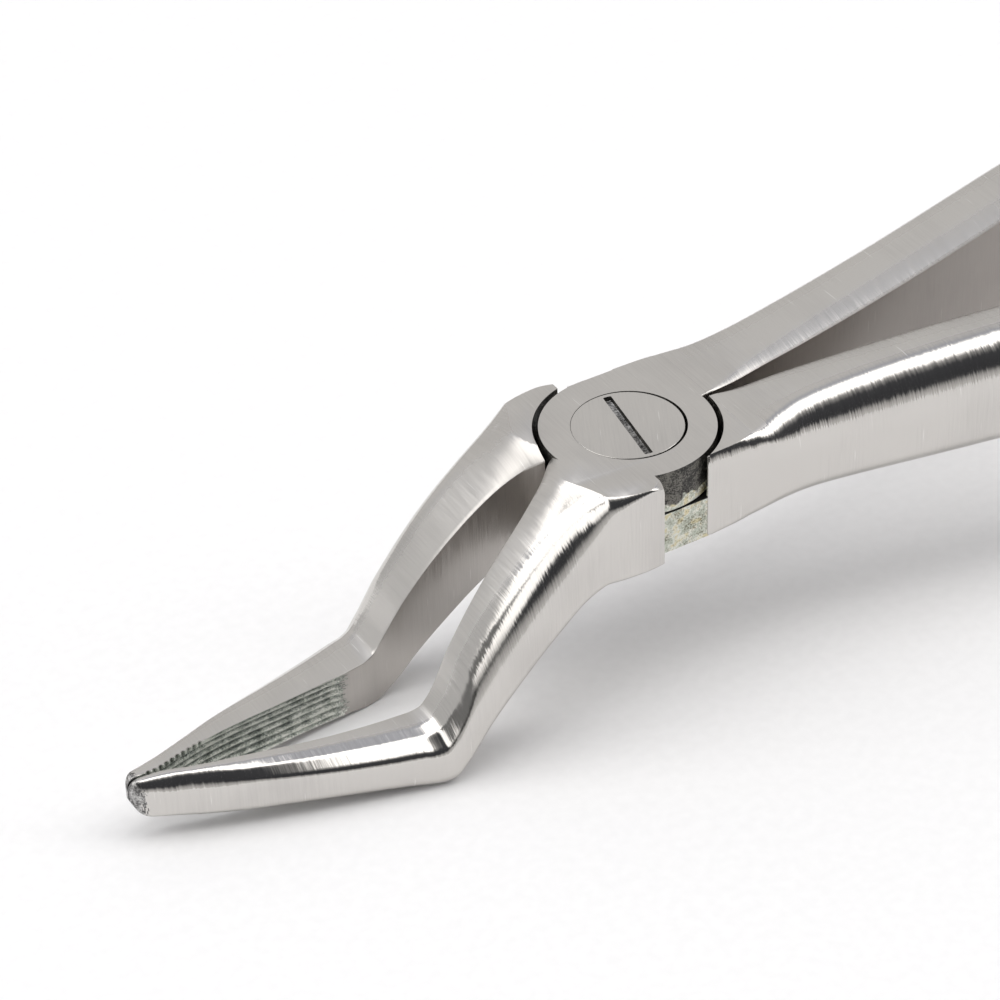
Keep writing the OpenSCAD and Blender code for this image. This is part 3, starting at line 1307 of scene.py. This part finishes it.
@dataclass
class Half:
    """One forged half: beak, lap plate and handle in one piece."""

    name: str
    body: str
    side: Side
    joint: Joint
    beak: Beak
    handle: Handle

    def core(self, slots: Slots) -> Thing:
        """Join the beak, the disc, the straight side and the handle, and grind both faces flat.

        Args:
            slots: the materials, in slot order.

        Returns:
            The uncut half, with its beak towards +Y.
        """
        j = self.joint
        body = self.beak.bar(self.name).build(slots)
        log.info("%s beak: %d faces, %d open edges", self.name, len(body.data.polygons), end_caps(body))
        disc = round_tool("disc", j.disc_r, -0.6, j.thick + 0.5, (0.0, 0.0))
        carve(body, disc, Carve.ADD, Skin.WALL)
        reach = j.handle_start + 0.3
        web = block_tool("web", (-j.side_front, -j.notch_side, -0.55), (reach, -j.crotch, j.thick + 0.45))
        carve(body, web, Carve.ADD, Skin.WALL)
        grip = self.handle.bar("grip").build(slots)
        log.info("%s handle: %d faces, %d open edges", self.name, len(grip.data.polygons), end_caps(grip))
        turn_over(grip)
        carve(body, grip, Carve.ADD)
        ground = skewed_block("ground", (-14, -15, j.thick), (8.8, 15, 16), [(0, 0), (12.0, 0)])
        carve(body, ground, Carve.CUT, Skin.STEEL)
        under = skewed_block("under", (-8.4, -15, -6), (8.6, 15, 0), [(0, 0), (14.0, 0)])
        carve(body, under, Carve.CUT, Skin.STEEL)
        return body

    def lap(self, body: Thing) -> None:
        """Cut the space for the other half: its disc, and the run of its shoulder as it opens.

        Args:
            body: the uncut half, with its beak towards +Y.
        """
        j = self.joint
        upper = self.side is Side.FRONT
        low = -1.0 if upper else j.plate()
        high = j.plate() + j.lap_gap if upper else j.thick + 1
        socket = round_tool("socket", j.socket(), low, high, (0.0, 0.0))
        carve(body, socket, Carve.CUT, Skin.WALL)
        notch = block_tool("notch", (-j.side_front - 0.02, -12, low), (j.handle_start, -0.02, high))
        carve(body, notch, Carve.CUT, Skin.WALL)

    def build(self, slots: Slots) -> Thing:
        """Make the half, put it on its own side and ride it on its body.

        Args:
            slots: the materials, in slot order.

        Returns:
            The finished piece.
        """
        j = self.joint
        body = self.core(slots)
        self.lap(body)
        bores = [("thread_bore", j.thread_bore_r, -1.0, (0.0, 0.0))]
        if self.side is Side.FRONT:
            turn_over(body)
            bores = [("shank_bore", j.shank_bore_r, -1.0, (0.0, 0.0))]
            bores.append(("head_seat", j.seat_r, j.thick - j.seat_deep, j.seat_centre))
        for name, radius, floor, centre in bores:
            bore = round_tool(name, radius, floor, j.thick + 1, centre)
            carve(body, bore, Carve.CUT, Skin.WALL)
        tidy_mesh(body, MERGE)
        self.dress(body)
        pick(body)
        bpy.ops.object.shade_smooth_by_angle(angle=SMOOTH)
        body.name = self.name
        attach(body, self.body)
        node = self.name.replace("_forging", "")
        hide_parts(node)
        return body

    def dress(self, body: Thing) -> None:
        """Sort the cut faces into finishes by their place, and lay the grain over the ground ones.

        Args:
            body: the half, on its own side.
        """
        j = self.joint
        mesh = body.data
        grain = mesh.uv_layers[GRAIN].data
        finish = mesh.uv_layers[FINISH].data
        for face in mesh.polygons:
            c = face.center / MM
            flat = abs(face.normal.z) > 0.999
            on_top = flat and abs(c.z - j.thick) < 0.01
            below = flat and abs(c.z) < 0.01
            if on_top or below or (face.normal.z > 0.9 and 8.5 < c.x < 10.5 and c.z < 9.4):
                face.material_index = Skin.STEEL.value
                for k in face.loop_indices:
                    v = mesh.vertices[mesh.loops[k].vertex_index].co
                    grain[k].uv = (v.x, v.y)
                    finish[k].uv = (0.0, 1.0)


def turn_over(thing: Thing) -> None:
    """Mirror a closed solid across the instrument's middle plane and turn its faces outwards."""
    pick(thing)
    bpy.ops.object.mode_set(mode="EDIT")
    bpy.ops.mesh.select_all(action="SELECT")
    across = (False, True, False)
    bpy.ops.transform.mirror(orient_type="GLOBAL", constraint_axis=across, center_override=(0, 0, 0))
    bpy.ops.mesh.normals_make_consistent(inside=False)
    bpy.ops.object.mode_set(mode="OBJECT")


# ---------------------------------------------------------------- the screw


@dataclass
class PivotScrew:
    """The flush slotted screw: a head in its seat, a plain shank and a threaded end."""

    joint: Joint
    head_r: float = 5.21
    head_t: float = 2.2
    shank_r: float = 2.7
    thread_r: float = 2.49
    slot_len: float = 9.6
    slot_w: float = 0.8
    slot_depth: float = 0.5
    slot_turn: float = -9.5

    def build(self, slots: Slots) -> Thing:
        """Turn the screw from a round bar, cut its slot and ride it on the lower half.

        Args:
            slots: the materials, in slot order.

        Returns:
            The finished screw.
        """
        j = self.joint
        clear_pick()
        foot = self.thread_r - 0.25
        bpy.ops.mesh.primitive_circle_add(vertices=128, radius=foot * MM, fill_type="NGON")
        screw = bpy.context.active_object
        steps = [
            (0.25, self.thread_r),
            (j.plate() - 0.25, self.thread_r),
            (0.0, self.shank_r),
            (j.thick - j.plate() - self.head_t, self.shank_r),
            (0.0, self.head_r),
            (self.head_t - 0.03, self.head_r),
            (0.03, self.head_r - 0.03),
        ]
        self.turn(screw, foot, steps)
        for material in slots:
            screw.data.materials.append(material)
        tool = block_tool(
            "slot",
            (-self.slot_w / 2, -self.slot_len / 2, j.thick - self.slot_depth),
            (self.slot_w / 2, self.slot_len / 2, j.thick + 1),
        )
        pick(tool)
        bpy.ops.object.mode_set(mode="EDIT")
        bpy.ops.mesh.select_all(action="SELECT")
        bpy.ops.mesh.bevel(offset=0.12 * MM, segments=3, affect="EDGES")
        bpy.ops.object.mode_set(mode="OBJECT")
        tool.rotation_euler = (0, 0, math.radians(self.slot_turn))
        apply_place(tool)
        carve(screw, tool, Carve.CUT)
        tidy_mesh(screw, MERGE)
        self.dress(screw)
        pick(screw)
        bpy.ops.object.shade_smooth_by_angle(angle=SMOOTH)
        screw.name = "pivot_screw_turned"
        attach(screw, "lower_side")
        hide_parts("pivot_screw")
        return screw

    def turn(self, screw: Thing, radius: float, steps: list[Pair]) -> None:
        """Draw the bar out step by step, as a lathe would leave it.

        Args:
            screw: the first disc, at the screw's foot.
            radius: the first disc's radius.
            steps: for each step its rise and the radius that it ends with.
        """
        pick(screw)
        bpy.ops.object.mode_set(mode="EDIT")
        bpy.ops.mesh.select_all(action="SELECT")
        for rise, target in steps:
            bpy.ops.mesh.extrude_region_move(TRANSFORM_OT_translate={"value": (0, 0, rise * MM)})
            size = target / radius
            bpy.ops.transform.resize(value=(size, size, 1.0), center_override=(0, 0, 0))
            radius = target
        bpy.ops.object.mode_set(mode="OBJECT")

    def dress(self, screw: Thing) -> None:
        """Ground steel on the head's top and the foot; dark steel, as painted shade, on what turns in the
        halves and on the slot's floor.
        """
        mesh = screw.data
        while mesh.uv_layers:
            mesh.uv_layers.remove(mesh.uv_layers[0])
        grain = mesh.uv_layers.new(name=GRAIN).data
        finish = mesh.uv_layers.new(name=FINISH).data
        turn = Matrix.Rotation(math.radians(28), 3, "Z")
        for face in mesh.polygons:
            z = face.center.z / MM
            seen = abs(face.normal.z) > 0.5 and (z > self.joint.thick - 0.12 or z < 0.3)
            in_slot = face.normal.z > 0.5 and self.joint.thick - 0.6 < z < self.joint.thick - 0.2
            face.material_index = Skin.STEEL.value if seen else Skin.WALL.value
            # Painted shade: the slot's floor takes the dark tip steel.
            if in_slot:
                face.material_index = Skin.TIP.value
            for k in face.loop_indices:
                v = turn @ mesh.vertices[mesh.loops[k].vertex_index].co
                grain[k].uv = (v.x, v.y)
                finish[k].uv = (0.0, 1.0)


# ---------------------------------------------------------------- studio


class Tint(Enum):
    """The two whites of the lights, as red, green and blue."""

    WARM = (1.0, 0.988, 0.975)
    COOL = (0.94, 0.97, 1.06)


Bands = tuple[tuple[int, Tint, float], ...]


@dataclass
class Studio:
    """A white table in a soft tent: bright overhead and at the left, dark on the viewer's side."""

    azimuth: float = -30.02
    elevation: float = 36.89
    roll: float = -2.05
    distance: float = 300.0
    aim_right: float = -11.58
    aim_up: float = -6.82
    lens: float = 119.06
    sensor: float = 36.0
    strength: float = 2.52
    slit_top: float = 0.86
    slit_tone: float = 0.08
    rim_tone: float = 0.25
    # Degrees up from the far horizon, over the top and down to the viewer's side.
    behind: Bands = (
        (0, Tint.WARM, 0.26),
        (20, Tint.WARM, 0.28),
        (45, Tint.WARM, 0.29),
        (58, Tint.COOL, 0.22),
        (66, Tint.COOL, 0.26),
    )
    middle: Bands = (
        (74, Tint.WARM, 1.0),
        (98, Tint.WARM, 1.0),
        (108, Tint.WARM, 0.16),
        (122, Tint.COOL, 0.026),
        (158, Tint.COOL, 0.020),
        (168, Tint.WARM, 0.20),
        (180, Tint.WARM, 0.30),
    )
    beside: Bands = (
        (74, Tint.WARM, 1.0),
        (98, Tint.WARM, 0.8),
        (148, Tint.WARM, 0.7),
        (156, Tint.WARM, 0.35),
        (163, Tint.WARM, 0.02),
    )

    def camera(self, top: Vector) -> None:
        """Set up the camera, aimed beside and below the pivot.

        Args:
            top: the pivot's top point, in metres.
        """
        a = math.radians(self.azimuth)
        e = math.radians(self.elevation)
        r = math.radians(self.roll)
        back = Vector((math.sin(a) * math.cos(e), -math.cos(a) * math.cos(e), math.sin(e)))
        level = Vector((math.cos(a), math.sin(a), 0.0))
        above = back.cross(level)
        right = level * math.cos(r) + above * math.sin(r)
        up = above * math.cos(r) - level * math.sin(r)
        bpy.ops.object.camera_add()
        eye = bpy.context.active_object
        eye.name = "studio_camera"
        place = top + (back * self.distance + right * self.aim_right + up * self.aim_up) * MM
        turn = Matrix((right, up, back)).transposed().to_4x4()
        eye.matrix_world = Matrix.Translation(place) @ turn
        eye.data.lens = self.lens
        eye.data.sensor_width = self.sensor
        eye.data.clip_start = 0.01
        eye.data.clip_end = 20.0
        bpy.context.scene.camera = eye

    def floor(self, height: float) -> None:
        """Lay the white table under the instrument.

        Args:
            height: the table's height, in metres.
        """
        clear_pick()
        bpy.ops.mesh.primitive_plane_add(size=5.0, location=(0, 0, height))
        table = bpy.context.active_object
        table.name = "white_table"
        card = Blank("matt_white_card", 0.0)
        place = add_node(card.tree, "TexCoord", {}, {})["Object"]
        fibre = add_node(card.tree, "TexNoise", {"Scale": 900.0, "Detail": 2.0}, {"Vector": place})[0]
        stops = [(0.3, linear("F5F5F6")), (0.7, linear("F8F8F9"))]
        tone = add_node(card.tree, "ValToRGB", {"stops": stops}, {0: fibre})[0]
        card.tree.links.new(tone, card.shader["Base Color"])
        card.shader["Roughness"].default_value = 0.85
        card.shader["Specular IOR Level"].default_value = 0.2
        table.data.materials.append(card.made)
        table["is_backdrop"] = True

    def light(self) -> None:
        """Wrap the object in a soft tent with bright bands overhead and at the left, and a viewing gap."""
        world = bpy.data.worlds.new("light_tent")
        bpy.context.scene.world = world
        world.use_nodes = True
        tree = world.node_tree
        back = tree.nodes["Background"]
        way = add_node(tree, "TexCoord", {}, {})["Generated"]
        axes = add_node(tree, "SeparateXYZ", {}, {0: way})
        a = math.radians(self.azimuth)
        along = {"operation": "DOT_PRODUCT", 1: (-math.sin(a), math.cos(a), 0.0)}
        ahead = add_node(tree, "VectorMath", along, {0: way})["Value"]
        across = {"operation": "DOT_PRODUCT", 1: (-math.cos(a), -math.sin(a), 0.0)}
        aside = add_node(tree, "VectorMath", across, {0: way})["Value"]
        turn = add_node(tree, "Math", {"operation": "ARCTAN2"}, {0: axes[2], 1: ahead})[0]
        share = add_node(tree, "Math", {"operation": "MULTIPLY", 1: 1 / math.pi}, {0: turn})[0]
        tent = self.bands(tree, share, self.behind + self.middle)
        box = self.bands(tree, share, self.behind + self.beside)
        box = add_node(tree, "Mix", MIX | {6: grey(self.slit_tone)}, {0: self.slit(tree, axes), 7: box})[2]
        edge = add_node(tree, "MapRange", soft_step(0.83, 0.91), {"Value": aside})[0]
        box = add_node(tree, "Mix", MIX | {7: grey(self.rim_tone)}, {0: edge, 6: box})[2]
        mix = add_node(tree, "MapRange", soft_step(0.25, 0.38), {"Value": aside})[0]
        tent = add_node(tree, "Mix", MIX, {0: mix, 6: tent, 7: box})[2]
        tree.links.new(tent, back.inputs["Color"])
        back.inputs["Strength"].default_value = self.strength

    def slit(self, tree: Tree, axes: Sockets) -> Socket:
        """Part the two soft boxes at the left by a dark slit that widens downwards.

        Args:
            tree: the world's node tree.
            axes: the viewing direction's x, y and z.

        Returns:
            0 in the slit and 1 outside it.
        """
        off = add_node(tree, "Math", {"operation": "ABSOLUTE"}, {0: axes[1]})[0]
        under = {"operation": "SUBTRACT", "use_clamp": True, 0: self.slit_top}
        sink = add_node(tree, "Math", under, {1: axes[2]})[0]
        half = add_node(tree, "Math", {"operation": "MULTIPLY"}, {0: sink, 1: sink})[0]
        off = add_node(tree, "Math", times_plus(-1.0), {0: half, 2: off})[0]
        return add_node(tree, "MapRange", soft_step(-0.05, 0.01), {"Value": off})[0]

    def bands(self, tree: Tree, share: Socket, bands: Bands) -> Socket:
        """Paint bands of light over the tent.

        Args:
            tree: the world's node tree.
            share: how far round from the far horizon, as a share of half a turn.
            bands: for each band its degrees, its tint and its strength.

        Returns:
            The colour socket.
        """
        stops = []
        for degrees, tint, value in bands:
            r, g, b = tint.value
            stops.append((degrees / 180, (value * r, value * g, value * b, 1.0)))
        return add_node(tree, "ValToRGB", {"stops": stops}, {0: share})[0]


# ---------------------------------------------------------------- the whole job


def main() -> None:
    """Build the halves, the screw and the studio, and report each piece."""
    logging.basicConfig(level=logging.INFO, format="%(name)s: %(message)s")
    joint = Joint()
    slots = Finishes().slots()
    # Buffed by hand, so the two outer sides differ: the rear corners stayed crisper.
    rear_beak = Beak(round_share=0.45)
    front_beak = Beak()
    rear_handle = Handle(joint, round_share=0.4)
    front_handle = Handle(joint)
    pieces = [
        Half("lower_half_forging", "lower_side", Side.REAR, joint, rear_beak, front_handle).build(slots),
        Half("upper_half_forging", "upper_side", Side.FRONT, joint, front_beak, rear_handle).build(slots),
        PivotScrew(joint).build(slots),
    ]
    for piece in pieces:
        faces = sum(len(p.vertices) - 2 for p in piece.data.polygons)
        log.info("%s: %d triangles, %d open edges", piece.name, faces, end_caps(piece))
    studio = Studio()
    studio.floor(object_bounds()[0][2] - 0.00002)
    studio.light()
    studio.camera(Vector((0, 0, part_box("pivot_screw")[1].z)))
    bpy.context.scene.view_settings.view_transform = "Standard"


if __name__ == "__main__":
    main()
